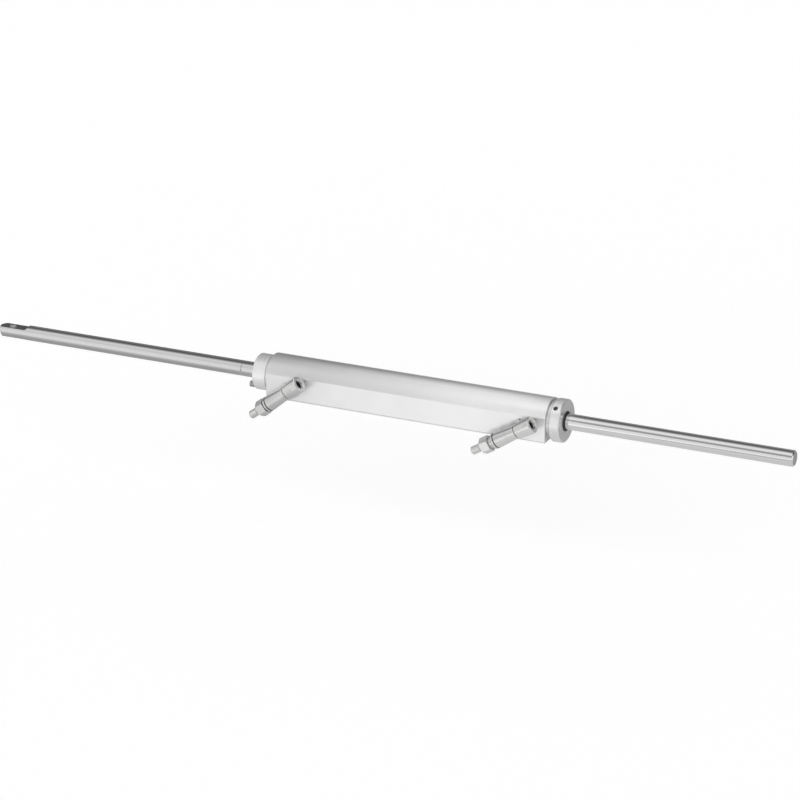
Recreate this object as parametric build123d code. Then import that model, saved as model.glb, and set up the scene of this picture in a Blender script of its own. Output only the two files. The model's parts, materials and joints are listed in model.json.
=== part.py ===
from build123d import *
from math import cos, radians, sin, sqrt
import os

# Hydraulic steering cylinder with a through rod, in millimetres.
# X runs along the rod towards its plain end, -Y is the flat front with the ports, +Z is up.
# The origin is the centre of the nose's end face. The piston stands at its right stop.

# Rod and its reach outside the heads
ROD_D = 16.0
PLAIN_ROD_OUT = 231.0
TANG_ROD_OUT = 310.1
ROD_JOINT_OUT = 18.5
PLAIN_END_CHAMFER = 1.2
JOINT_CHAMFER = 0.6
JOINT_THREAD_D = 10.0
JOINT_THREAD_LENGTH = 22.0
JOINT_HOLE_SPARE = 2.0
JOINT_CLEARANCE = 0.05

# Tang at the left end of the rod
TANG_LENGTH = 34.8
TANG_TOP = 4.6
TANG_BOTTOM = 6.6
TANG_SHOULDER_R = 3.5
TANG_END_CHAMFER = 3.2
LINK_HOLE_D = 9.7
LINK_HOLE_FROM_END = 14.2

# Barrel extrusion
BARREL_LENGTH = 304.6
BARREL_ROUND_R = 21.5
BARREL_HALF_WIDTH = 20.5
BARREL_DEPTH = 19.0
BARREL_CORNER_R = 1.8
BARREL_END_CHAMFER = 0.4
BORE_D = 30.0

# Threaded ends and the parts of both heads that lie inside the barrel
HEAD_THREAD_D = 33.0
HEAD_THREAD_LENGTH = 12.0
HEAD_THREAD_SPARE = 0.6
HEAD_LAND_END = 19.0
HEAD_INSIDE = 36.0
HEAD_STOP_D = 24.0
LAND_CLEARANCE = 0.05

# Left head outside the barrel: neck, nose and socket for the mounting tube
NECK_D = 35.8
NECK_LENGTH = 2.8
NOSE_D = 37.2
NOSE_LENGTH = 17.4
NOSE_CHAMFER = 0.8
SOCKET_D = 20.6
SOCKET_DEPTH = 13.2
SOCKET_MOUTH_CHAMFER = 1.0

# Right head outside the barrel: groove and flange with pin-spanner holes
GROOVE_D = 39.0
GROOVE_LENGTH = 4.6
FLANGE_D = 43.2
FLANGE_LENGTH = 9.6
FLANGE_CHAMFER = 1.0
SPANNER_HOLE_D = 4.8
SPANNER_HOLE_DEPTH = 4.0
SPANNER_HOLE_COUNT = 2
SPANNER_HOLE_ANGLE = 39.0
SPANNER_HOLE_FROM_GROOVE = 3.4

# Rod passage in the heads
PASSAGE_CLEARANCE = 0.3
WIPER_D = 20.0
WIPER_DEPTH = 5.0
WIPER_LIP_OUT = 1.4
WIPER_BODY_LENGTH = 4.6
WIPER_LIP_WALL = 0.9
SEAL_LAND = 3.0
SEAL_GROOVE_D = 22.4
SEAL_GROOVE_LENGTH = 5.0
SEAL_LIP_WALL = 1.2
BUSH_D = 19.0
BUSH_LENGTH = 16.0
RUNNING_CLEARANCE = 0.08
SEAL_CLEARANCE = 0.05

# Static ring between each head and the bore
HEAD_RING_WIDTH = 2.6
HEAD_RING_DEPTH = 2.2
HEAD_RING_FROM_END = 15.5

# Lock screw in the nose's end face
LOCK_THREAD_D = 4.0
LOCK_THREAD_LENGTH = 9.0
LOCK_HEAD_D = 6.4
LOCK_HEAD_HEIGHT = 5.0
LOCK_HEX = 3.0
LOCK_HEX_DEPTH = 2.2
LOCK_FROM_RIM = 3.3
LOCK_CENTRE_R = NOSE_D / 2 - LOCK_FROM_RIM
LOCK_ANGLE = 44.5
LOCK_CLEARANCE = 0.1

# Piston, its rings and what holds it on the rod
PISTON_LENGTH = 29.0
PISTON_CLEARANCE = 0.1
STOP_GAP = 0.3
PISTON_SEAL_WIDTH = 4.4
PISTON_SEAL_DEPTH = 3.0
WEAR_RING_WIDTH = 5.0
WEAR_RING_DEPTH = 2.0
WEAR_RING_FROM_FACE = 3.0
WEAR_RING_SPLIT = 1.0
PISTON_RING_WIDTH = 2.4
PISTON_RING_DEPTH = 1.8
SNAP_RING_WIDTH = 1.5
SNAP_RING_D = 19.2
SNAP_GROOVE_DEPTH = 0.8
SNAP_RING_GAP = 6.0
SNAP_POCKET_DEPTH = 2.0
SNAP_CLEARANCE = 0.05

# Side ports and the hollow adapters in them
PORT_FROM_BARREL_END = 27.0
PORT_BELOW_AXIS = 7.3
PORT_THREAD_D = 12.0
PORT_THREAD_CLEARANCE = 0.05
PORT_STEM_BACK_OFF = 0.3
PORT_BORE_D = 4.4
WASHER_D = 17.6
WASHER_THICKNESS = 1.5
ADAPTER_HEX = 17.4
ADAPTER_HEX_LENGTH = 2.5
ADAPTER_HEX_CHAMFER = 1.0
SPIGOT_D = 9.6
SPIGOT_CLEARANCE = 0.06
SPIGOT_TIP_GAP = 0.3
SPIGOT_TIP_CHAMFER = 0.6
WAIST_DEPTH = 0.9
WAIST_LENGTH = 2.8
CROSS_HOLE_D = 2.6
SWIVEL_RING_WIDTH = 1.4
SWIVEL_RING_DEPTH = 1.1
SWIVEL_RING_LAND = 0.6
CLIP_WIRE_D = 1.0
CLIP_LAND = 1.3

# Swivel fitting: hub on the port axis, rising hose arm and the bleed arm opposite it
RUN_OFFSET = 12.5
HUB_D = 14.0
HUB_DOME_D = 13.9
HUB_BORE_PAST_RUN = 4.4
SWIVEL_GAP = 0.3
ARM_D = 13.8
HOSE_ARM = 22.5
HOSE_HEAD_START = 4.6
HOSE_HEAD_ROOT_D = 15.6
HOSE_HEAD_D = 17.0
HOSE_HEAD_STRAIGHT = 7.0
HOSE_HEAD_CHAMFER = 0.7
HEAD_CREVICE_WIDTH = 1.3
HEAD_CREVICE_DEPTH = 1.0
HOSE_THREAD_D = 9.2
HOSE_THREAD_LENGTH = 9.0
HOSE_MOUTH_CHAMFER = 0.8
HOSE_CHANNEL_D = 5.0
BLEED_ARM = 24.2
BLEED_ARM_CHAMFER = 0.8
BLEED_COLLAR_D = 16.2
BLEED_COLLAR_LENGTH = 2.9
COLLAR_GROOVE_D = 13.6
COLLAR_GROOVE_WIDTH = 1.2
NECK_RECESS_DEPTH = 3.8
BLEED_CHANNEL_D = 2.6
BLEED_SEAT_FROM_HUB = 10.5
HOSE_ARM_RISE = {"left": 37.1, "right": 31.0}

# Bleed screw. The left one is closed, the right one stands turned out a little.
BLEED_SCREW_OUT = {"left": 0.0, "right": 3.5}
BLEED_THREAD_D = 7.0
BLEED_THREAD_CLEARANCE = 0.06
BLEED_CONE_LENGTH = 2.5
BLEED_SEAT_GAP = 0.1
BLEED_NECK_D = 11.4
BLEED_NECK_LENGTH = 4.2
BLEED_NECK_CLEARANCE = 0.3
BLEED_HEX_GAP = 0.6
BLEED_HEX = 15.0
BLEED_HEX_LENGTH = 9.2
BLEED_HEX_CHAMFER = 0.8
NIPPLE_LENGTH = 13.4
NIPPLE_D = 8.4
NIPPLE_WAIST_D = 7.2
NIPPLE_WAIST_LENGTH = 3.0
NIPPLE_TIP_CHAMFER = 1.0
NIPPLE_BORE_D = 2.4
BLEED_CROSS_HOLE_D = 1.8
BLEED_CROSS_HOLE_FROM_CONE = 1.8

HEXAGON_TURN = 30.0
CUT = 1.0
SIDES = ("left", "right")

# Places along X that follow from the sizes above
BARREL_LEFT = NOSE_LENGTH
BARREL_RIGHT = BARREL_LEFT + BARREL_LENGTH
RIGHT_FACE = BARREL_RIGHT + GROOVE_LENGTH + FLANGE_LENGTH
ROD_RIGHT = RIGHT_FACE + PLAIN_ROD_OUT
ROD_JOINT = -ROD_JOINT_OUT
ROD_LEFT = -TANG_ROD_OUT
PISTON_RIGHT = BARREL_RIGHT - HEAD_INSIDE - STOP_GAP
PISTON_LEFT = PISTON_RIGHT - PISTON_LENGTH
PISTON_MIDDLE = (PISTON_LEFT + PISTON_RIGHT) / 2
STROKE = BARREL_LENGTH - 2 * HEAD_INSIDE - PISTON_LENGTH - 2 * STOP_GAP
PORT_X = {
    "left": BARREL_LEFT + PORT_FROM_BARREL_END,
    "right": BARREL_RIGHT - PORT_FROM_BARREL_END,
}

# Turn from the hose arm to the bleed arm opposite it
TO_BLEED_ARM = Rot(0, 180, 0)


def turned(points):
    """Solid turned about X from (distance, radius) points."""
    return revolve(make_face(Polyline(*points, close=True)), Axis.X)


def ring(start, end, inner_r, outer_r):
    """Plain ring about X."""
    return turned([(start, inner_r), (start, outer_r), (end, outer_r), (end, inner_r)])


def rod_along_x(start, end, radius):
    """Plain round bar about X."""
    return turned([(start, 0), (start, radius), (end, radius), (end, 0)])


def bevelled_bar(start, end, radius):
    """Round bar about X with the spigot's bevel at its far end."""
    return turned([
        (start, 0), (start, radius), (end - SPIGOT_TIP_CHAMFER, radius),
        (end, radius - SPIGOT_TIP_CHAMFER), (end, 0),
    ])


def hexagon_prism(start, end, across_flats):
    """Sharp hexagon bar about X, with a corner up and a corner down."""
    profile = RegularPolygon(across_flats / 2, 6, major_radius=False, rotation=HEXAGON_TURN)
    return Pos(start, 0, 0) * extrude(Plane.YZ * profile, end - start)


def hexagon_bar(start, end, across_flats, chamfer):
    """Hexagon bar about X with turned corners at both ends."""
    corner_r = across_flats / sqrt(3)
    low_r = corner_r - chamfer
    envelope = turned([
        (start, 0), (start, low_r), (start + chamfer / 2, corner_r),
        (end - chamfer / 2, corner_r), (end, low_r), (end, 0),
    ])
    return hexagon_prism(start, end, across_flats) & envelope


def at_barrel_end(side):
    """Frame with X pointing out of the barrel at its end face."""
    if side == "left":
        return Pos(BARREL_LEFT, 0, 0) * Rot(0, 0, 180)
    return Pos(BARREL_RIGHT, 0, 0)


def at_port(side):
    """Frame with X pointing out of the flat front on the port's axis."""
    return Pos(PORT_X[side], -BARREL_HALF_WIDTH, -PORT_BELOW_AXIS) * Rot(0, 0, -90)


def at_run(side):
    """Frame of a fitting: the hose arm along X, the hub axis along Y."""
    centre = Pos(PORT_X[side], -BARREL_HALF_WIDTH - RUN_OFFSET, -PORT_BELOW_AXIS)
    return centre * Rot(0, -HOSE_ARM_RISE[side], 0)


def wiper_face(side):
    """Distance of the wiper seat's mouth from the barrel's end face."""
    if side == "left":
        return NOSE_LENGTH - SOCKET_DEPTH
    return GROOVE_LENGTH + FLANGE_LENGTH


def make_barrel():
    half = BARREL_HALF_WIDTH
    arris = sqrt(BARREL_ROUND_R ** 2 - half ** 2)
    top = ThreePointArc((half, arris), (0, BARREL_ROUND_R), (-half, arris))
    rest = Polyline((-half, arris), (-half, -BARREL_DEPTH), (half, -BARREL_DEPTH), (half, arris))
    body = extrude(Plane.YZ * make_face(top + rest), BARREL_LENGTH)
    lower_edges = body.edges().filter_by(Axis.X).group_by(Axis.Z)[0]
    body = fillet(lower_edges, BARREL_CORNER_R)
    body = chamfer(body.faces().filter_by(Axis.X).edges(), BARREL_END_CHAMFER)
    body = Pos(BARREL_LEFT, 0, 0) * body
    body -= rod_along_x(BARREL_LEFT - CUT, BARREL_RIGHT + CUT, BORE_D / 2)
    thread_depth = HEAD_THREAD_LENGTH + HEAD_THREAD_SPARE
    for side in SIDES:
        body -= at_barrel_end(side) * rod_along_x(-thread_depth, CUT, HEAD_THREAD_D / 2)
        body -= at_port(side) * rod_along_x(-BARREL_HALF_WIDTH, CUT, PORT_THREAD_D / 2)
    return body


def head_inside_points():
    """Outline of a head's inner part, from its stop to the barrel's end face."""
    land_r = BORE_D / 2 - LAND_CLEARANCE
    return [
        (-HEAD_INSIDE, 0), (-HEAD_INSIDE, HEAD_STOP_D / 2), (-HEAD_LAND_END, HEAD_STOP_D / 2),
        (-HEAD_LAND_END, land_r), (-HEAD_THREAD_LENGTH, land_r),
        (-HEAD_THREAD_LENGTH, HEAD_THREAD_D / 2), (0, HEAD_THREAD_D / 2),
    ]


def rod_passage(side):
    """What is bored out of a head for the rod, its bush, its seal and its wiper."""
    passage_r = ROD_D / 2 + PASSAGE_CLEARANCE
    face = wiper_face(side)
    seat = face - WIPER_DEPTH
    seal_out = seat - SEAL_LAND
    seal_in = seal_out - SEAL_GROOVE_LENGTH
    bush_end = -HEAD_INSIDE + BUSH_LENGTH
    return turned([
        (-HEAD_INSIDE - CUT, 0), (-HEAD_INSIDE - CUT, BUSH_D / 2), (bush_end, BUSH_D / 2),
        (bush_end, passage_r), (seal_in, passage_r), (seal_in, SEAL_GROOVE_D / 2),
        (seal_out, SEAL_GROOVE_D / 2), (seal_out, passage_r), (seat, passage_r),
        (seat, WIPER_D / 2), (face + CUT, WIPER_D / 2), (face + CUT, 0),
    ])


def head_ring_groove():
    groove_r = BORE_D / 2 - HEAD_RING_DEPTH
    start = -HEAD_RING_FROM_END - HEAD_RING_WIDTH / 2
    return ring(start, start + HEAD_RING_WIDTH, groove_r, BORE_D / 2 + CUT)


def make_left_head():
    rim = NOSE_D / 2 - NOSE_CHAMFER
    head = turned(head_inside_points() + [
        (0, NECK_D / 2), (NECK_LENGTH, NECK_D / 2), (NECK_LENGTH, NOSE_D / 2),
        (NOSE_LENGTH - NOSE_CHAMFER, NOSE_D / 2), (NOSE_LENGTH, rim), (NOSE_LENGTH, 0),
    ])
    socket_r = SOCKET_D / 2
    mouth = NOSE_LENGTH - SOCKET_MOUTH_CHAMFER
    socket = turned([
        (NOSE_LENGTH - SOCKET_DEPTH, 0), (NOSE_LENGTH - SOCKET_DEPTH, socket_r),
        (mouth, socket_r), (NOSE_LENGTH, socket_r + SOCKET_MOUTH_CHAMFER), (NOSE_LENGTH, 0),
    ])
    head = at_barrel_end("left") * (head - rod_passage("left") - head_ring_groove() - socket)
    hole_r = LOCK_THREAD_D / 2 + LOCK_CLEARANCE
    return head - at_lock_screw() * rod_along_x(-LOCK_THREAD_LENGTH - CUT, CUT, hole_r)


def make_right_head():
    face = GROOVE_LENGTH + FLANGE_LENGTH
    flange_r = FLANGE_D / 2
    head = turned(head_inside_points() + [
        (0, GROOVE_D / 2), (GROOVE_LENGTH, GROOVE_D / 2),
        (GROOVE_LENGTH, flange_r), (face - FLANGE_CHAMFER, flange_r),
        (face, flange_r - FLANGE_CHAMFER), (face, 0),
    ])
    head -= rod_passage("right") + head_ring_groove()
    hole = rod_along_x(flange_r - SPANNER_HOLE_DEPTH, flange_r + CUT, SPANNER_HOLE_D / 2)
    hole_at = GROOVE_LENGTH + SPANNER_HOLE_FROM_GROOVE
    for index in range(SPANNER_HOLE_COUNT):
        angle = SPANNER_HOLE_ANGLE + index * 360 / SPANNER_HOLE_COUNT
        head -= Pos(hole_at, 0, 0) * Rot(angle, 0, 0) * Rot(0, -90, 0) * hole
    return at_barrel_end("right") * head


def make_head_oring(side):
    groove_r = BORE_D / 2 - HEAD_RING_DEPTH
    half = HEAD_RING_WIDTH / 2 - SEAL_CLEARANCE
    profile = Pos(-HEAD_RING_FROM_END, (groove_r + BORE_D / 2) / 2) * RectangleRounded(
        2 * half, HEAD_RING_DEPTH - 2 * SEAL_CLEARANCE, half * 0.7)
    return at_barrel_end(side) * revolve(profile, Axis.X)


def make_rod_bush(side):
    bush = ring(-HEAD_INSIDE, -HEAD_INSIDE + BUSH_LENGTH, ROD_D / 2 + RUNNING_CLEARANCE, BUSH_D / 2)
    return at_barrel_end(side) * bush


def make_rod_seal(side):
    """U-shaped ring with its open side towards the oil."""
    outer = SEAL_GROOVE_D / 2 - SEAL_CLEARANCE
    inner = ROD_D / 2 + RUNNING_CLEARANCE
    back = wiper_face(side) - WIPER_DEPTH - SEAL_LAND - SEAL_CLEARANCE
    front = back - SEAL_GROOVE_LENGTH + 2 * SEAL_CLEARANCE
    notch = (front + back) / 2
    middle = (inner + outer) / 2
    seal = turned([
        (back, inner), (back, outer), (front, outer), (front, outer - SEAL_LIP_WALL),
        (notch, middle), (front, inner + SEAL_LIP_WALL), (front, inner),
    ])
    return at_barrel_end(side) * seal


def make_rod_wiper(side):
    """Ring with a thin lip that leans out along the rod."""
    outer = WIPER_D / 2 - SEAL_CLEARANCE
    inner = ROD_D / 2 + RUNNING_CLEARANCE
    lip_end = wiper_face(side) + WIPER_LIP_OUT
    seat = wiper_face(side) - WIPER_DEPTH
    body_end = seat + WIPER_BODY_LENGTH
    wiper = turned([
        (seat, inner), (seat, outer), (body_end, outer),
        (lip_end, inner + WIPER_LIP_WALL), (lip_end, inner),
    ])
    return at_barrel_end(side) * wiper


def at_lock_screw():
    """Frame with X pointing out of the nose's end face on the lock screw's axis."""
    angle = radians(LOCK_ANGLE)
    return Pos(0, -LOCK_CENTRE_R * cos(angle), -LOCK_CENTRE_R * sin(angle)) * Rot(0, 0, 180)


def make_lock_screw():
    screw = rod_along_x(-LOCK_THREAD_LENGTH, 0, LOCK_THREAD_D / 2)
    screw += rod_along_x(0, LOCK_HEAD_HEIGHT, LOCK_HEAD_D / 2)
    floor = LOCK_HEAD_HEIGHT - LOCK_HEX_DEPTH
    screw -= hexagon_prism(floor, LOCK_HEAD_HEIGHT + CUT, LOCK_HEX)
    return at_lock_screw() * screw


def make_piston():
    outer = BORE_D / 2 - PISTON_CLEARANCE
    body = ring(PISTON_LEFT, PISTON_RIGHT, ROD_D / 2 + RUNNING_CLEARANCE, outer)
    pocket_r = SNAP_RING_D / 2 + PASSAGE_CLEARANCE
    body -= rod_along_x(PISTON_LEFT - CUT, PISTON_LEFT + SNAP_POCKET_DEPTH, pocket_r)
    body -= rod_along_x(PISTON_RIGHT - SNAP_POCKET_DEPTH, PISTON_RIGHT + CUT, pocket_r)
    half = PISTON_SEAL_WIDTH / 2
    body -= ring(PISTON_MIDDLE - half, PISTON_MIDDLE + half, BORE_D / 2 - PISTON_SEAL_DEPTH, BORE_D)
    for start in wear_ring_starts().values():
        body -= ring(start, start + WEAR_RING_WIDTH, BORE_D / 2 - WEAR_RING_DEPTH, BORE_D)
    half = PISTON_RING_WIDTH / 2
    body -= ring(PISTON_MIDDLE - half, PISTON_MIDDLE + half, 1, ROD_D / 2 + PISTON_RING_DEPTH)
    return body


def wear_ring_starts():
    """Left end of each wear ring's groove."""
    return {
        "left": PISTON_LEFT + WEAR_RING_FROM_FACE,
        "right": PISTON_RIGHT - WEAR_RING_FROM_FACE - WEAR_RING_WIDTH,
    }


def make_piston_seal():
    half = PISTON_SEAL_WIDTH / 2 - SEAL_CLEARANCE
    inner = BORE_D / 2 - PISTON_SEAL_DEPTH + SEAL_CLEARANCE
    return ring(PISTON_MIDDLE - half, PISTON_MIDDLE + half, inner, BORE_D / 2 - RUNNING_CLEARANCE)


def make_wear_ring(side):
    start = wear_ring_starts()[side] + SEAL_CLEARANCE
    end = start + WEAR_RING_WIDTH - 2 * SEAL_CLEARANCE
    inner = BORE_D / 2 - WEAR_RING_DEPTH + SEAL_CLEARANCE
    band = ring(start, end, inner, BORE_D / 2 - RUNNING_CLEARANCE)
    slot = Box(BORE_D, WEAR_RING_SPLIT, BORE_D, align=(Align.CENTER, Align.CENTER, Align.MIN))
    return band - Pos((start + end) / 2, 0, 0) * slot


def make_piston_bore_oring():
    half = PISTON_RING_WIDTH / 2 - SEAL_CLEARANCE
    inner = ROD_D / 2 + RUNNING_CLEARANCE
    outer = ROD_D / 2 + PISTON_RING_DEPTH - SEAL_CLEARANCE
    profile = Pos(PISTON_MIDDLE, (inner + outer) / 2) * RectangleRounded(
        2 * half, outer - inner, (outer - inner) * 0.35)
    return revolve(profile, Axis.X)


def snap_ring_starts():
    """Left face of each snap ring: both lie against the floors of the piston's pockets."""
    return (
        PISTON_LEFT + SNAP_POCKET_DEPTH - SNAP_CLEARANCE - SNAP_RING_WIDTH,
        PISTON_RIGHT - SNAP_POCKET_DEPTH + SNAP_CLEARANCE,
    )


def make_piston_rod():
    radius = ROD_D / 2
    rod = turned([
        (ROD_JOINT, 0), (ROD_JOINT, radius - JOINT_CHAMFER), (ROD_JOINT + JOINT_CHAMFER, radius),
        (ROD_RIGHT - PLAIN_END_CHAMFER, radius), (ROD_RIGHT, radius - PLAIN_END_CHAMFER),
        (ROD_RIGHT, 0),
    ])
    socket_depth = JOINT_THREAD_LENGTH + JOINT_HOLE_SPARE
    rod -= rod_along_x(ROD_JOINT - CUT, ROD_JOINT + socket_depth, JOINT_THREAD_D / 2)
    for start in snap_ring_starts():
        groove_start = start - SNAP_CLEARANCE
        groove_end = start + SNAP_RING_WIDTH + SNAP_CLEARANCE
        rod -= ring(groove_start, groove_end, radius - SNAP_GROOVE_DEPTH, ROD_D)
    return rod


def make_tang_rod():
    radius = ROD_D / 2
    rod = turned([
        (ROD_LEFT, 0), (ROD_LEFT, radius - TANG_END_CHAMFER),
        (ROD_LEFT + TANG_END_CHAMFER, radius), (ROD_JOINT - JOINT_CHAMFER, radius),
        (ROD_JOINT, radius - JOINT_CHAMFER), (ROD_JOINT, 0),
    ])
    spigot_r = JOINT_THREAD_D / 2 - JOINT_CLEARANCE
    rod += rod_along_x(ROD_JOINT, ROD_JOINT + JOINT_THREAD_LENGTH, spigot_r)
    shoulder = ROD_LEFT + TANG_LENGTH
    for level, sign in ((TANG_TOP, 1), (TANG_BOTTOM, -1)):
        slab = Pos((ROD_LEFT + shoulder) / 2 - CUT, 0, sign * (level + ROD_D / 2)) * Box(
            TANG_LENGTH + 2 * CUT, 2 * ROD_D, ROD_D)
        inner_edge = slab.edges().filter_by(Axis.Y).group_by(Axis.X)[-1].sort_by(Axis.Z)
        run_out = inner_edge[0] if sign > 0 else inner_edge[-1]
        rod -= fillet(run_out, TANG_SHOULDER_R)
    hole = Pos(ROD_LEFT + LINK_HOLE_FROM_END, 0, 0) * Cylinder(LINK_HOLE_D / 2, 2 * ROD_D)
    return rod - hole


def make_snap_rings():
    rings = []
    inner = ROD_D / 2 - SNAP_GROOVE_DEPTH + SNAP_CLEARANCE
    for start in snap_ring_starts():
        band = ring(start, start + SNAP_RING_WIDTH, inner, SNAP_RING_D / 2)
        gap = Box(ROD_D, SNAP_RING_GAP, ROD_D, align=(Align.CENTER, Align.CENTER, Align.MIN))
        rings.append(band - Pos(start, 0, 0) * gap)
    return Compound(children=rings)


def spigot_levels():
    """Distances from the flat front along the port's axis, outwards."""
    hex_top = WASHER_THICKNESS + ADAPTER_HEX_LENGTH
    hub_bottom = hex_top + SWIVEL_GAP
    hub_bore_end = RUN_OFFSET + HUB_BORE_PAST_RUN
    clip = hub_bottom + CLIP_LAND
    waist_start = RUN_OFFSET - WAIST_LENGTH / 2
    waist_end = RUN_OFFSET + WAIST_LENGTH / 2
    ring_starts = (waist_start - SWIVEL_RING_LAND - SWIVEL_RING_WIDTH, waist_end + SWIVEL_RING_LAND)
    return {
        "hex_top": hex_top, "hub_bottom": hub_bottom, "hub_bore_end": hub_bore_end,
        "clip": clip, "waist_start": waist_start, "waist_end": waist_end,
        "ring_starts": ring_starts, "spigot_tip": hub_bore_end - SPIGOT_TIP_GAP,
    }


def make_port_adapter(side):
    levels = spigot_levels()
    spigot_r = SPIGOT_D / 2
    stem_r = PORT_THREAD_D / 2 - PORT_THREAD_CLEARANCE
    stem_end = BORE_D / 2 + PORT_STEM_BACK_OFF - BARREL_HALF_WIDTH
    adapter = rod_along_x(stem_end, WASHER_THICKNESS, stem_r)
    adapter += hexagon_bar(WASHER_THICKNESS, levels["hex_top"], ADAPTER_HEX, ADAPTER_HEX_CHAMFER)
    adapter += bevelled_bar(levels["hex_top"], levels["spigot_tip"], spigot_r)
    adapter -= rod_along_x(stem_end - CUT, levels["waist_end"], PORT_BORE_D / 2)
    waist_r = spigot_r - WAIST_DEPTH
    adapter -= ring(levels["waist_start"], levels["waist_end"], waist_r, SPIGOT_D)
    for start in levels["ring_starts"]:
        adapter -= ring(start, start + SWIVEL_RING_WIDTH, spigot_r - SWIVEL_RING_DEPTH, SPIGOT_D)
    clip_groove = Torus(spigot_r + SPIGOT_CLEARANCE / 2, CLIP_WIRE_D / 2 + SPIGOT_CLEARANCE)
    adapter -= Pos(levels["clip"], 0, 0) * Rot(0, 90, 0) * clip_groove
    cross = Pos(RUN_OFFSET, 0, 0) * Cylinder(CROSS_HOLE_D / 2, 2 * SPIGOT_D)
    for angle in (0, 90):
        adapter -= Rot(angle, 0, 0) * cross
    return at_port(side) * adapter


def make_port_washer(side):
    inner = PORT_THREAD_D / 2 + PORT_THREAD_CLEARANCE
    return at_port(side) * ring(0, WASHER_THICKNESS, inner, WASHER_D / 2)


def make_swivel_orings(side):
    rings = []
    inner = SPIGOT_D / 2 - SWIVEL_RING_DEPTH + SPIGOT_CLEARANCE
    for start in spigot_levels()["ring_starts"]:
        end = start + SWIVEL_RING_WIDTH - SEAL_CLEARANCE
        band = ring(start + SEAL_CLEARANCE, end, inner, SPIGOT_D / 2)
        rings.append(at_port(side) * band)
    return Compound(children=rings)


def make_swivel_clip(side):
    wire = Torus(SPIGOT_D / 2 + SPIGOT_CLEARANCE / 2, CLIP_WIRE_D / 2)
    clip = Pos(spigot_levels()["clip"], 0, 0) * Rot(0, 90, 0) * wire
    opening = Box(4 * CLIP_WIRE_D, 2 * CLIP_WIRE_D, SPIGOT_D,
                  align=(Align.CENTER, Align.CENTER, Align.MIN))
    return at_port(side) * (clip - Pos(spigot_levels()["clip"], 0, 0) * opening)


def hose_arm_outline():
    """Half section of the hose arm: plain arm, crevice, tapered head, straight rim."""
    arm_r = ARM_D / 2
    crevice_r = arm_r - HEAD_CREVICE_DEPTH
    crevice = HOSE_HEAD_START - HEAD_CREVICE_WIDTH
    head_r = HOSE_HEAD_D / 2
    return [
        (0, 0), (0, arm_r), (crevice, arm_r), (crevice, crevice_r),
        (HOSE_HEAD_START, crevice_r), (HOSE_HEAD_START, HOSE_HEAD_ROOT_D / 2),
        (HOSE_ARM - HOSE_HEAD_STRAIGHT, head_r), (HOSE_ARM - HOSE_HEAD_CHAMFER, head_r),
        (HOSE_ARM, head_r - HOSE_HEAD_CHAMFER), (HOSE_ARM, 0),
    ]


def bleed_arm_outline():
    """Half section of the bleed arm: slightly widening arm, groove, collar at the end."""
    collar_r = BLEED_COLLAR_D / 2
    collar = BLEED_ARM - BLEED_COLLAR_LENGTH
    groove = collar - COLLAR_GROOVE_WIDTH
    return [
        (0, 0), (0, ARM_D / 2), (groove, collar_r), (groove, COLLAR_GROOVE_D / 2),
        (collar, COLLAR_GROOVE_D / 2), (collar, collar_r), (BLEED_ARM - BLEED_ARM_CHAMFER, collar_r),
        (BLEED_ARM, collar_r - BLEED_ARM_CHAMFER), (BLEED_ARM, 0),
    ]


def hose_port_cut():
    """Threaded hole with a bevelled mouth, a cone seat and the oil channel."""
    thread_r = HOSE_THREAD_D / 2
    channel_r = HOSE_CHANNEL_D / 2
    mouth = HOSE_ARM - HOSE_MOUTH_CHAMFER
    thread_end = mouth - HOSE_THREAD_LENGTH
    return turned([
        (0, 0), (0, channel_r), (thread_end - (thread_r - channel_r), channel_r),
        (thread_end, thread_r), (mouth, thread_r), (HOSE_ARM, thread_r + HOSE_MOUTH_CHAMFER),
        (HOSE_ARM + CUT, thread_r + HOSE_MOUTH_CHAMFER), (HOSE_ARM + CUT, 0),
    ])


def bleed_port_cut():
    """Threaded hole with a recessed mouth, a cone seat and a thin channel, along the bleed arm."""
    thread_r = BLEED_THREAD_D / 2
    channel_r = BLEED_CHANNEL_D / 2
    recess_r = BLEED_NECK_D / 2 + BLEED_NECK_CLEARANCE
    recess = BLEED_ARM - NECK_RECESS_DEPTH
    cone_end = BLEED_SEAT_FROM_HUB + BLEED_CONE_LENGTH
    return turned([
        (0, 0), (0, channel_r), (BLEED_SEAT_FROM_HUB, channel_r), (cone_end, thread_r),
        (recess, thread_r), (recess, recess_r), (BLEED_ARM + CUT, recess_r), (BLEED_ARM + CUT, 0),
    ])


def make_swivel_tee(side):
    levels = spigot_levels()
    to_run = Pos(0, RUN_OFFSET, 0) * Rot(0, 0, -90)
    hub = to_run * rod_along_x(levels["hub_bottom"], RUN_OFFSET, HUB_D / 2)
    tee = hub + Sphere(HUB_DOME_D / 2) + turned(hose_arm_outline())
    tee += TO_BLEED_ARM * turned(bleed_arm_outline())
    tee -= hose_port_cut() + TO_BLEED_ARM * bleed_port_cut()
    bore_r = SPIGOT_D / 2 + SPIGOT_CLEARANCE
    tee -= to_run * bevelled_bar(levels["hub_bottom"] - CUT, levels["hub_bore_end"], bore_r)
    clip_groove = Torus(SPIGOT_D / 2 + SPIGOT_CLEARANCE / 2, CLIP_WIRE_D / 2 + SPIGOT_CLEARANCE)
    tee -= to_run * Pos(levels["clip"], 0, 0) * Rot(0, 90, 0) * clip_groove
    return at_run(side) * tee


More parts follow.
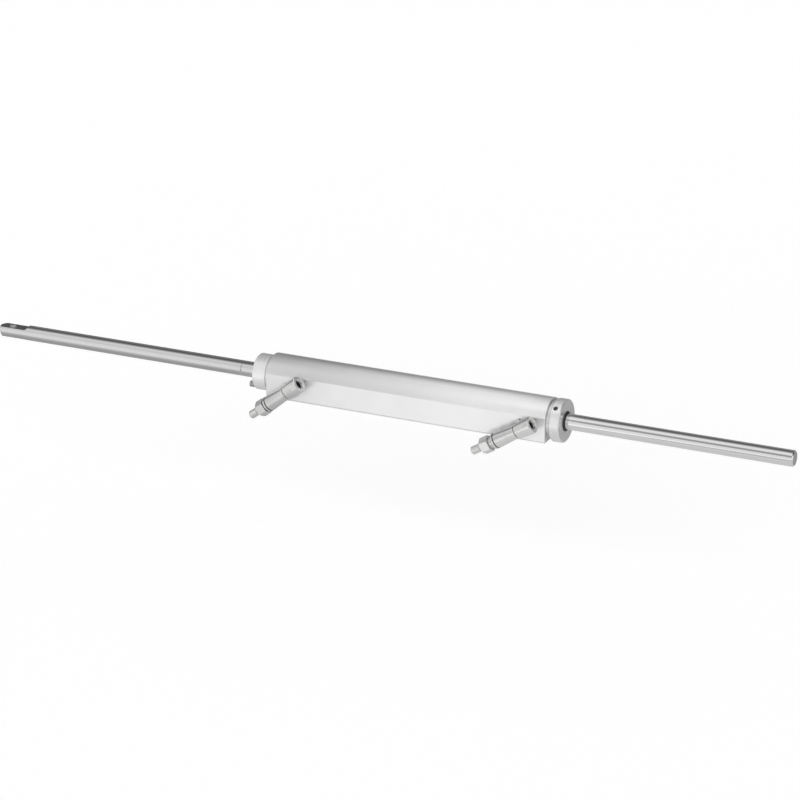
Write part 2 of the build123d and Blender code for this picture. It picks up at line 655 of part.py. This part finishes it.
def make_bleed_screw(side):
    thread_r = BLEED_THREAD_D / 2 - BLEED_THREAD_CLEARANCE
    tip_r = BLEED_CHANNEL_D / 2
    tip = BLEED_SEAT_FROM_HUB + BLEED_SEAT_GAP
    cone_end = tip + BLEED_CONE_LENGTH
    hex_start = BLEED_ARM + BLEED_HEX_GAP
    neck_start = hex_start - BLEED_NECK_LENGTH
    neck_r = BLEED_NECK_D / 2
    hex_end = hex_start + BLEED_HEX_LENGTH
    waist_r = NIPPLE_WAIST_D / 2
    waist_end = hex_end + NIPPLE_WAIST_LENGTH
    nipple_r = NIPPLE_D / 2
    end = hex_end + NIPPLE_LENGTH
    screw = turned([
        (tip, 0), (tip, tip_r), (cone_end, thread_r), (neck_start, thread_r),
        (neck_start, neck_r), (hex_start, neck_r), (hex_start, waist_r),
        (waist_end, waist_r), (waist_end + (nipple_r - waist_r), nipple_r),
        (end - NIPPLE_TIP_CHAMFER, nipple_r), (end, nipple_r - NIPPLE_TIP_CHAMFER), (end, 0),
    ])
    screw += hexagon_bar(hex_start, hex_end, BLEED_HEX, BLEED_HEX_CHAMFER)
    cross_at = cone_end + BLEED_CROSS_HOLE_FROM_CONE
    screw -= rod_along_x(cross_at, end + CUT, NIPPLE_BORE_D / 2)
    screw -= Pos(cross_at, 0, 0) * Cylinder(BLEED_CROSS_HOLE_D / 2, 2 * BLEED_THREAD_D)
    return at_run(side) * TO_BLEED_ARM * Pos(BLEED_SCREW_OUT[side], 0, 0) * screw


def all_pieces():
    pieces = {
        "barrel": make_barrel(),
        "left_head": make_left_head(),
        "right_head": make_right_head(),
        "nose_lock_screw": make_lock_screw(),
        "piston": make_piston(),
        "piston_seal": make_piston_seal(),
        "piston_bore_oring": make_piston_bore_oring(),
        "piston_rod": make_piston_rod(),
        "tang_rod": make_tang_rod(),
        "piston_snap_rings": make_snap_rings(),
    }
    for side in SIDES:
        pieces["head_oring_" + side] = make_head_oring(side)
        pieces["rod_bush_" + side] = make_rod_bush(side)
        pieces["rod_seal_" + side] = make_rod_seal(side)
        pieces["rod_wiper_" + side] = make_rod_wiper(side)
        pieces["wear_ring_" + side] = make_wear_ring(side)
        pieces["port_adapter_" + side] = make_port_adapter(side)
        pieces["port_washer_" + side] = make_port_washer(side)
        pieces["swivel_orings_" + side] = make_swivel_orings(side)
        pieces["swivel_clip_" + side] = make_swivel_clip(side)
        pieces["swivel_tee_" + side] = make_swivel_tee(side)
        pieces["bleed_screw_" + side] = make_bleed_screw(side)
    return pieces


os.makedirs("parts", exist_ok=True)
for name, shape in all_pieces().items():
    export_step(shape, "parts/" + name + ".step")
print("stroke", round(STROKE, 2), "ports at", PORT_X)
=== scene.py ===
import json
import math

import bpy
from mathutils import Matrix, Vector


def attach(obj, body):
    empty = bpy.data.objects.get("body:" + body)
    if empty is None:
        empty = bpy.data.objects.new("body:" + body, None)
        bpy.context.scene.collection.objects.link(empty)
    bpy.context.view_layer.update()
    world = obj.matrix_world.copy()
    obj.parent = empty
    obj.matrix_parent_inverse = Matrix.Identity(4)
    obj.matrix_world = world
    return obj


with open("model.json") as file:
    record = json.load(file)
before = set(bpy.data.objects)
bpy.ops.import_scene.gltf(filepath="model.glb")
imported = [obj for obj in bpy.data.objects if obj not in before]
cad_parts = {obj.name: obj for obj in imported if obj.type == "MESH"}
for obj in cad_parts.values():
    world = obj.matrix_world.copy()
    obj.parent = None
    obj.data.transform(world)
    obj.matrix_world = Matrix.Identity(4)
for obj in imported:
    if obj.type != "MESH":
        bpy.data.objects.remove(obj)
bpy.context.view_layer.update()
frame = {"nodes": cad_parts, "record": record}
scene = bpy.context.scene
nodes = frame["nodes"]

# Lengths are in metres; MM turns millimetres into metres.
MM = 0.001
SIDES = ("left", "right")

# Camera
CAMERA_AZIMUTH = 25.5
CAMERA_ELEVATION = 20.3
CAMERA_DISTANCE = 2.845
CAMERA_TARGET = (0.15735, 0.0, -0.0066)
CAMERA_LENS = 128.66
SENSOR_WIDTH = 36.0
CAMERA_CLIP = (0.05, 100.0)


def make_camera():
    azimuth, elevation = math.radians(CAMERA_AZIMUTH), math.radians(CAMERA_ELEVATION)
    back = Vector((
        math.sin(azimuth) * math.cos(elevation),
        -math.cos(azimuth) * math.cos(elevation),
        math.sin(elevation),
    ))
    data = bpy.data.cameras.new("camera")
    data.lens = CAMERA_LENS
    data.sensor_width = SENSOR_WIDTH
    data.clip_start, data.clip_end = CAMERA_CLIP
    camera = bpy.data.objects.new("camera", data)
    scene.collection.objects.link(camera)
    camera.location = Vector(CAMERA_TARGET) + CAMERA_DISTANCE * back
    camera.rotation_mode = "QUATERNION"
    camera.rotation_quaternion = (-back).to_track_quat("-Z", "Y")
    scene.camera = camera


make_camera()


# Node helpers
class Nodes:
    """Short way to build a material's or the world's node tree."""

    def __init__(self, tree):
        self.tree = tree
        tree.nodes.clear()

    def add(self, kind, inputs=None, **settings):
        node = self.tree.nodes.new(kind)
        for key, value in settings.items():
            setattr(node, key, value)
        for key, value in (inputs or {}).items():
            socket = node.inputs[key]
            if isinstance(value, bpy.types.NodeSocket):
                self.tree.links.new(value, socket)
            else:
                socket.default_value = value
        return node

    def math(self, operation, a, b=0.0, clamp=False):
        node = self.add("ShaderNodeMath", {0: a, 1: b}, operation=operation, use_clamp=clamp)
        return node.outputs[0]

    def ramp(self, value, low, high, out_low, out_high):
        """Maps a value from one range to another, held at both ends."""
        inputs = {"Value": value, "From Min": low, "From Max": high, "To Min": out_low, "To Max": out_high}
        return self.add("ShaderNodeMapRange", inputs, clamp=True).outputs[0]

    def noise(self, vector, scale, detail=4.0, roughness=0.6):
        inputs = {"Vector": vector, "Scale": scale, "Detail": detail, "Roughness": roughness}
        return self.add("ShaderNodeTexNoise", inputs).outputs["Fac"]

    def tint(self, factor, dark, light):
        """Colour between two others."""
        return self.add("ShaderNodeMix", {0: factor, 6: dark, 7: light}, data_type="RGBA").outputs[2]


def rgba(value, shade=1.0):
    return tuple(c * shade for c in value) + (1.0,)


def row_point(build):
    return build.add("ShaderNodeTexCoord").outputs["Object"]


# Grains: how much finer the marks are along each axis
EXTRUDED_SCALE = (0.8, 2200.0, 2200.0)
TURNED_SCALE = (1400.0, 1400.0, 0.8)
EVEN_SCALE = (500.0, 500.0, 500.0)


def extruded(build, point):
    """Drawn lines along X."""
    return build.add("ShaderNodeMapping", {"Vector": point, "Scale": EXTRUDED_SCALE}).outputs[0]


def turned(build, point):
    """Tool marks round X: rings on round faces, circles on end faces."""
    parts = build.add("ShaderNodeSeparateXYZ", {0: point})
    square = build.math("ADD", build.math("MULTIPLY", parts.outputs[1], parts.outputs[1]),
                        build.math("MULTIPLY", parts.outputs[2], parts.outputs[2]))
    radius = build.math("SQRT", square)
    turn = build.math("ARCTAN2", parts.outputs[2], parts.outputs[1])
    flat = build.add("ShaderNodeCombineXYZ", {0: parts.outputs[0], 1: radius, 2: turn}).outputs[0]
    return build.add("ShaderNodeMapping", {"Vector": flat, "Scale": TURNED_SCALE}).outputs[0]


def even(build, point):
    """No grain direction."""
    return build.add("ShaderNodeMapping", {"Vector": point, "Scale": EVEN_SCALE}).outputs[0]


def aligned(build, point, origin, direction):
    """Point seen from an origin, with X along a direction."""
    turn = Vector((1, 0, 0)).rotation_difference(Vector(direction)).to_euler()
    inputs = {"Vector": point, "Location": tuple(origin), "Rotation": tuple(turn)}
    return build.add("ShaderNodeMapping", inputs, vector_type="TEXTURE").outputs[0]


def local(origin, direction, grain):
    """Grain that runs about an axis other than the rod's."""
    return lambda build, point: grain(build, aligned(build, point, origin, direction))


# Painted shade deep in a hole: where it starts, is full, starts to fade and ends, and its soft rim
CAVITY_START = 0.6 * MM
CAVITY_FULL = 2.5 * MM
CAVITY_FADE = 12.6 * MM
CAVITY_REACH = 14 * MM
CAVITY_RIM = 0.1 * MM


def hole_shade_mask(build, point, cavity):
    """Painted shade mask: 1 deep inside a round hole, 0 at its mouth and outside it."""
    mouth, outward, radius = cavity
    parts = build.add("ShaderNodeSeparateXYZ", {0: aligned(build, point, mouth, outward)})
    wide = build.add("ShaderNodeCombineXYZ", {1: parts.outputs[1], 2: parts.outputs[2]}).outputs[0]
    away = build.add("ShaderNodeVectorMath", {0: wide}, operation="LENGTH").outputs["Value"]
    inside = build.ramp(away, radius, radius + CAVITY_RIM, 1.0, 0.0)
    sunk = build.ramp(parts.outputs[0], -CAVITY_FULL, -CAVITY_START, 1.0, 0.0)
    near = build.ramp(parts.outputs[0], -CAVITY_REACH, -CAVITY_FADE, 0.0, 1.0)
    return build.math("MULTIPLY", build.math("MULTIPLY", inside, sunk), near)


# Cloudy tone, worn edges, painted shade in crevices and relief that all metals share
LINE_SCALE = 1.0
CLOUD_SCALE = 28.0
CLOUD_ROUGHNESS = 0.55
EDGE_RADIUS = 0.15 * MM
EDGE_SAMPLES = 4
EDGE_COLOUR = (0.9, 0.9, 0.9)
EDGE_SHARE = 0.5
EDGE_AGREEMENT = (0.9, 0.99)
NOISE_RANGE = (0.3, 0.7)
LINE_SHARE = 0.7
# Painted shade in crevices: the occlusion at which it is full, and how many rays measure occlusion
SHADE_FROM = 0.25
SHADE_SAMPLES = 8
METAL_RELIEF = 0.02 * MM


def make_metal(name, colour, roughness, spread, grain, bump, stain=0.1, metallic=1.0,
               crevice_shade=0.0, shade_reach=1.2, shade_until=0.8, shaded_holes=()):
    """Metal with a grain in its gloss and height, cloudy tone, brighter edges and painted shade in its
    crevices.
    """
    material = bpy.data.materials.new(name)
    material.use_nodes = True
    build = Nodes(material.node_tree)
    point = row_point(build)
    lines = build.noise(grain(build, point), LINE_SCALE)
    clouds = build.noise(point, CLOUD_SCALE, roughness=CLOUD_ROUGHNESS)
    tone = build.ramp(clouds, *NOISE_RANGE, 0.0, 1.0)
    base = build.tint(tone, rgba(colour, 1 - stain), rgba(colour))
    rounded = build.add("ShaderNodeBevel", {"Radius": EDGE_RADIUS}, samples=EDGE_SAMPLES)
    flat = build.add("ShaderNodeNewGeometry").outputs["Normal"]
    agreement = build.add("ShaderNodeVectorMath", {0: rounded.outputs[0], 1: flat}, operation="DOT_PRODUCT")
    worn = build.ramp(agreement.outputs["Value"], *EDGE_AGREEMENT, 1.0, 0.0)
    base = build.tint(build.math("MULTIPLY", worn, EDGE_SHARE), base, rgba(EDGE_COLOUR))
    # Painted shade: darkens the colour towards near black where ambient occlusion finds crevices, corners
    # and nearby parts
    if crevice_shade:
        openness = build.add("ShaderNodeAmbientOcclusion", {"Distance": shade_reach * MM},
                             samples=SHADE_SAMPLES)
        shaded = build.ramp(openness.outputs["AO"], SHADE_FROM, shade_until, crevice_shade, 0.0)
        base = build.tint(shaded, base, rgba(CREVICE_SHADE_COLOUR))
    # Painted shade: the inside of each listed hole darkens to near black
    for cavity in shaded_holes:
        base = build.tint(hole_shade_mask(build, point, cavity), base, rgba(HOLE_SHADE_COLOUR))
    mixed = build.math("ADD", build.math("MULTIPLY", lines, LINE_SHARE),
                       build.math("MULTIPLY", clouds, 1 - LINE_SHARE))
    gloss = build.ramp(mixed, *NOISE_RANGE, roughness - spread, roughness + spread)
    height = build.add("ShaderNodeBump", {
        "Height": lines, "Strength": bump, "Distance": METAL_RELIEF, "Normal": rounded.outputs[0]})
    shader = build.add("ShaderNodeBsdfPrincipled", {
        "Base Color": base, "Metallic": metallic, "Roughness": gloss, "Normal": height.outputs[0]})
    build.add("ShaderNodeOutputMaterial", {"Surface": shader.outputs[0]})
    return material


# Tone, gloss and relief that rubber and plastic share
DULL_DETAIL = 5.0
DULL_SHADES = (0.8, 1.15)
DULL_SPREAD = 0.06
DULL_RELIEF = 0.05 * MM


def make_dull(name, colour, roughness, bump, scale):
    """Rubber or plastic with a fine surface."""
    material = bpy.data.materials.new(name)
    material.use_nodes = True
    build = Nodes(material.node_tree)
    point = row_point(build)
    grainy = build.noise(point, scale, detail=DULL_DETAIL)
    base = build.tint(grainy, *(rgba(colour, shade) for shade in DULL_SHADES))
    gloss = build.ramp(grainy, *NOISE_RANGE, roughness - DULL_SPREAD, roughness + DULL_SPREAD)
    height = build.add("ShaderNodeBump", {"Height": grainy, "Strength": bump, "Distance": DULL_RELIEF})
    shader = build.add("ShaderNodeBsdfPrincipled", {
        "Base Color": base, "Metallic": 0.0, "Roughness": gloss, "Normal": height.outputs[0]})
    build.add("ShaderNodeOutputMaterial", {"Surface": shader.outputs[0]})
    return material


# Colours
SILVER = (0.85, 0.85, 0.85)
# Left head's silver, painted lighter than SILVER: painted light standing in for light on that head
NOSE_SILVER_PAINTED_LIGHT = (0.94, 0.94, 0.94)
CHROME = (0.80, 0.80, 0.805)
NICKEL = (0.76, 0.76, 0.755)
# Near black of the painted shade in crevices
CREVICE_SHADE_COLOUR = (0.05, 0.05, 0.05)
# Near black of the painted shade deep in holes
HOLE_SHADE_COLOUR = (0.012, 0.012, 0.012)
DARK_STEEL = (0.48, 0.48, 0.48)
SPRING_STEEL = (0.32, 0.32, 0.33)
PISTON_GREY = (0.66, 0.66, 0.66)
BRONZE = (0.55, 0.36, 0.18)
RUBBER = (0.02, 0.02, 0.02)
PLASTIC = (0.82, 0.81, 0.76)

mounts = {mount["name"]: mount for mount in frame["record"]["mounts"]}


def hole_cavity(name):
    """Mouth, outward direction and radius of a hole that the record gives as a mount."""
    mount = mounts[name]
    outward = Vector(mount["axis"])
    mouth = Vector(mount["pos_m"]) + outward * mount["dims"]["length_mm"] / 2 * MM
    return mouth, outward, mount["dims"]["r_mm"] * MM + CAVITY_RIM


def paint(material, *names):
    for name in names:
        nodes[name].data.materials.clear()
        nodes[name].data.materials.append(material)


# Finishes: each names its colour, gloss, grain, relief and how much painted shade darkens its crevices
FINISHES = {
    "barrel_silver": dict(colour=SILVER, roughness=0.29, spread=0.012, grain=extruded, bump=0.02,
                          stain=0.05, metallic=0.7, crevice_shade=0.4),
    "head_silver": dict(colour=SILVER, roughness=0.28, spread=0.015, grain=turned, bump=0.02,
                        metallic=0.7, crevice_shade=0.9, shade_reach=4.0, shade_until=0.97),
    # Left head: lighter silver with a larger diffuse share, painted light
    "nose_silver_painted_light": dict(colour=NOSE_SILVER_PAINTED_LIGHT, roughness=0.28, spread=0.015, grain=turned, bump=0.02,
                        metallic=0.55, crevice_shade=0.9, shade_reach=2.5, shade_until=0.9),
    "chrome": dict(colour=CHROME, roughness=0.09, spread=0.03, grain=turned, bump=0.04, stain=0.03,
                   crevice_shade=0.95),
    "dark_steel": dict(colour=DARK_STEEL, roughness=0.34, spread=0.08, grain=even, bump=0.3),
    "spring_steel": dict(colour=SPRING_STEEL, roughness=0.35, spread=0.08, grain=even, bump=0.3),
    "piston_metal": dict(colour=PISTON_GREY, roughness=0.3, spread=0.08, grain=turned, bump=0.4),
    "bronze": dict(colour=BRONZE, roughness=0.35, spread=0.08, grain=turned, bump=0.4),
}
FITTING_FINISH = dict(colour=NICKEL, roughness=0.25, spread=0.05, bump=0.06, stain=0.15, metallic=0.82,
                      crevice_shade=0.95, shade_reach=2.4)
ADAPTER_FINISH = dict(colour=NICKEL, roughness=0.24, spread=0.06, bump=0.1, stain=0.15, metallic=0.85,
                      crevice_shade=0.95, shade_reach=3.0)
BLEED_FINISH = dict(colour=NICKEL, roughness=0.24, spread=0.08, bump=0.12, stain=0.12, metallic=0.82,
                    crevice_shade=0.95, shade_reach=2.4)
RUBBER_FINISH = dict(colour=RUBBER, roughness=0.6, bump=0.5, scale=900.0)
PLASTIC_FINISH = dict(colour=PLASTIC, roughness=0.45, bump=0.3, scale=700.0)

# Pieces that wear each finish
WEARERS = {
    "barrel_silver": ["barrel"],
    "head_silver": ["right_head"],
    "nose_silver_painted_light": ["left_head"],
    "chrome": ["piston_rod", "tang_rod"],
    "dark_steel": ["nose_lock_screw"],
    "spring_steel": ["piston_snap_rings", "swivel_clip_left", "swivel_clip_right"],
    "piston_metal": ["piston"],
    "bronze": ["rod_bush_left", "rod_bush_right"],
}


def both(*names):
    """Names of the pieces that stand once on each side."""
    return [name + "_" + side for side in SIDES for name in names]


def dress_fitting(side):
    port = mounts["hose_port_" + side]
    bleed = mounts["bleed_nipple_" + side]
    # The hose port's hole gets painted shade deep inside
    paint(make_metal("fitting_nickel_" + side, grain=local(port["pos_m"], port["axis"], turned),
                     shaded_holes=[hole_cavity("hose_port_" + side)], **FITTING_FINISH), "swivel_tee_" + side)
    paint(make_metal("adapter_nickel_" + side, grain=even, **ADAPTER_FINISH),
          "port_adapter_" + side, "port_washer_" + side)
    paint(make_metal("bleed_steel_" + side, grain=local(bleed["pos_m"], bleed["axis"], turned),
                     **BLEED_FINISH), "bleed_screw_" + side)


def dress():
    for name, finish in FINISHES.items():
        paint(make_metal(name, **finish), *WEARERS[name])
    for side in SIDES:
        dress_fitting(side)
    paint(make_dull("black_rubber", **RUBBER_FINISH), "piston_bore_oring",
          *both("head_oring", "rod_seal", "rod_wiper", "swivel_orings"))
    paint(make_dull("white_plastic", **PLASTIC_FINISH), "piston_seal", *both("wear_ring"))


dress()


# Threads, which the solids show as plain holes, in millimetres and in shares of the pitch
THREAD_STEPS = 72
THREAD_HEIGHT = 0.5
RIDGE_HALF_WIDTH = 0.45
RIDGE_SUNK = 0.03
HOSE_PITCH = 1.0
SOCKET_START = 1.0
SOCKET_LENGTH = 11.4
SOCKET_RADIUS = 10.3
SOCKET_PITCH = 1.5


def make_thread(name, body, mouth, inward, radius, pitch, length, material):
    """Ridge that winds into a round hole and fades out at both ends."""
    inward = Vector(inward).normalized()
    side = inward.orthogonal().normalized()
    up = inward.cross(side)
    height = THREAD_HEIGHT * pitch
    half = RIDGE_HALF_WIDTH * pitch
    turns = length / pitch - 1
    count = int(turns * THREAD_STEPS)
    corners, faces = [], []
    for step in range(count + 1):
        turn = 2 * math.pi * step / THREAD_STEPS
        fade = min(1.0, 2 * step / THREAD_STEPS, 2 * (count - step) / THREAD_STEPS)
        outwards = math.cos(turn) * side + math.sin(turn) * up
        middle = pitch * (0.5 + step / THREAD_STEPS)
        for offset, rise in ((-half, -RIDGE_SUNK), (0.0, height * fade), (half, -RIDGE_SUNK)):
            point = Vector(mouth) + MM * ((middle + offset) * inward + (radius - rise) * outwards)
            corners.append(tuple(point))
    for step in range(count):
        for edge in range(3):
            a, b = 3 * step + edge, 3 * step + (edge + 1) % 3
            faces.append((a, b, b + 3, a + 3))
    faces += [(0, 2, 1), (3 * count, 3 * count + 1, 3 * count + 2)]
    mesh = bpy.data.meshes.new(name)
    mesh.from_pydata(corners, [], faces)
    mesh.materials.append(material)
    made = bpy.data.objects.new(name, mesh)
    scene.collection.objects.link(made)
    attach(made, body)


def make_threads():
    for side in SIDES:
        port = mounts["hose_port_" + side]
        outward = Vector(port["axis"])
        length = port["dims"]["length_mm"]
        mouth = Vector(port["pos_m"]) + outward * length / 2 * MM
        make_thread("hose_thread_" + side, "fitting_" + side, mouth, -outward,
                    port["dims"]["r_mm"], HOSE_PITCH, length, bpy.data.materials["fitting_nickel_" + side])
    make_thread("socket_thread", "barrel", (SOCKET_START * MM, 0, 0), (1, 0, 0),
                SOCKET_RADIUS, SOCKET_PITCH, SOCKET_LENGTH, bpy.data.materials["nose_silver_painted_light"])


make_threads()


# Floor, background, lamp and tent
FLOOR_Z = -0.25
FLOOR_HALF = 40.0
FLOOR_COLOUR = 0.86
FLOOR_LIFT = 0.42
WORLD_DIFFUSE = 0.5
SUN_STRENGTH = 2.3
SUN_ANGLE = 60.0
SUN_DIRECTION = (-0.2, 1.0, -0.2)


def sees_background(build):
    """1 for rays from the camera, in gloss and through glass, else 0."""
    path = build.add("ShaderNodeLightPath")
    seen = build.math("MAXIMUM", path.outputs["Is Camera Ray"], path.outputs["Is Glossy Ray"])
    return build.math("MAXIMUM", seen, path.outputs["Is Transmission Ray"])


def stage_mesh(name, corners, faces, material):
    mesh = bpy.data.meshes.new(name)
    mesh.from_pydata(corners, [], faces)
    mesh.materials.append(material)
    made = bpy.data.objects.new(name, mesh)
    scene.collection.objects.link(made)
    return made


def make_floor():
    material = bpy.data.materials.new("floor")
    material.use_nodes = True
    build = Nodes(material.node_tree)
    matt = build.add("ShaderNodeBsdfDiffuse", {"Color": rgba((FLOOR_COLOUR,) * 3)})
    glow = build.add("ShaderNodeEmission", {
        "Color": (1, 1, 1, 1), "Strength": build.math("MULTIPLY", sees_background(build), FLOOR_LIFT)})
    lit = build.add("ShaderNodeAddShader", {0: matt.outputs[0], 1: glow.outputs[0]})
    build.add("ShaderNodeOutputMaterial", {"Surface": lit.outputs[0]})
    h = FLOOR_HALF
    corners = [(-h, -h, FLOOR_Z), (h, -h, FLOOR_Z), (h, h, FLOOR_Z), (-h, h, FLOOR_Z)]
    stage_mesh("floor", corners, [(0, 1, 2, 3)], material)


def make_world():
    world = bpy.data.worlds.new("world")
    scene.world = world
    world.use_nodes = True
    build = Nodes(world.node_tree)
    strength = build.ramp(sees_background(build), 0.0, 1.0, WORLD_DIFFUSE, 1.0)
    back = build.add("ShaderNodeBackground", {"Color": (1, 1, 1, 1), "Strength": strength})
    build.add("ShaderNodeOutputWorld", {"Surface": back.outputs[0]})


# The tent is a set of panels along the rod that only gloss sees. An arc is a curved panel between
# two heights in degrees, 0 behind the rod, 90 above it and 180 in front. A card lies just above
# the floor, between two distances from the rod. Each has four shades from its left to its right:
# what the tang rod, the barrel's left end, the barrel's right end and the plain rod reflect.
TENT_RADIUS = 0.6
TENT_HALF_LENGTH = 2.5
SHADE_PLACES = (-0.03, 0.02, 0.36, 0.385)
REFLECTION_DRIFT = 0.44
RAMP_START, RAMP_END = -0.5, 0.5
CARD_Z = -0.245
ARCS = {
    "back_low": (-20, 12, (0.36, 0.26, 0.36, 0.36)),
    "back_rising": (12, 26, (0.09, 0.08, 0.34, 0.30)),
    "back_middle": (26, 40, (0.30, 0.05, 0.34, 0.30)),
    "back_high": (40, 62, (0.14, 0.12, 0.95, 0.12)),
    "crest": (62, 78, (0.11, 0.33, 1.35, 0.18)),
    "high_crest": (78, 91, (0.22, 0.34, 1.30, 0.45)),
    "back_overhead": (91, 104, (0.50, 0.32, 1.30, 0.92)),
    "overhead": (104, 128, (0.76, 0.30, 1.38, 0.90)),
    "front_flag": (128, 153, (0.70, 0.22, 1.30, 0.38)),
    "front": (153, 181, (0.82, 0.15, 1.05, 0.86)),
}
CARDS = {
    "far_front": (-3.0, -0.45, (0.80, 1.14, 1.20, 0.56)),
    "middle_front": (-0.45, -0.2, (0.52, 0.60, 0.70, 0.74)),
    "under": (-0.2, 0.2, (0.38, 0.45, 0.60, 0.68)),
    "middle_back": (0.2, 0.45, (0.54, 0.54, 0.78, 0.78)),
    "far_back": (0.45, 3.0, (0.80, 0.80, 0.58, 0.34)),
}
ARC_STEP = 5.0


def make_panel(name, profile, shades):
    """Glowing strip along X over a profile of (y, z) points, invisible but in gloss."""
    material = bpy.data.materials.new(name)
    material.use_nodes = True
    build = Nodes(material.node_tree)
    parts = build.add("ShaderNodeSeparateXYZ", {0: row_point(build)})
    place = build.ramp(parts.outputs[0], RAMP_START, RAMP_END, 0.0, 1.0)
    ramp = build.add("ShaderNodeValToRGB", {0: place})
    drift = REFLECTION_DRIFT * min(math.hypot(y, z) for y, z in profile)
    stops = ramp.color_ramp.elements
    while len(stops) < len(shades):
        stops.new(0.5)
    for stop, x, shade in zip(stops, SHADE_PLACES, shades):
        stop.position = (x - drift - RAMP_START) / (RAMP_END - RAMP_START)
    for stop, shade in zip(sorted(stops, key=lambda each: each.position), shades):
        stop.color = rgba((shade,) * 3)
    glow = build.add("ShaderNodeEmission", {"Color": ramp.outputs[0], "Strength": 1.0})
    build.add("ShaderNodeOutputMaterial", {"Surface": glow.outputs[0]})
    corners = [(x, y, z) for y, z in profile for x in (-TENT_HALF_LENGTH, TENT_HALF_LENGTH)]
    faces = [(2 * i, 2 * i + 1, 2 * i + 3, 2 * i + 2) for i in range(len(profile) - 1)]
    panel = stage_mesh(name, corners, faces, material)
    panel.visible_camera = False
    panel.visible_diffuse = False
    panel.visible_transmission = False
    panel.visible_shadow = False


def make_tent():
    for name, (low, high, shades) in ARCS.items():
        steps = math.ceil((high - low) / ARC_STEP)
        angles = [math.radians(low + (high - low) * i / steps) for i in range(steps + 1)]
        make_panel(name, [(TENT_RADIUS * math.cos(a), TENT_RADIUS * math.sin(a)) for a in angles], shades)
    for name, (near, far, shades) in CARDS.items():
        make_panel(name, [(near, CARD_Z), (far, CARD_Z)], shades)


def make_sun():
    data = bpy.data.lights.new("sun", "SUN")
    data.energy = SUN_STRENGTH
    data.angle = math.radians(SUN_ANGLE)
    lamp = bpy.data.objects.new("sun", data)
    scene.collection.objects.link(lamp)
    lamp.visible_glossy = False
    lamp.rotation_mode = "QUATERNION"
    lamp.rotation_quaternion = Vector(SUN_DIRECTION).to_track_quat("-Z", "Y")


make_floor()
make_world()
make_tent()
make_sun()

scene.view_settings.view_transform = "Standard"
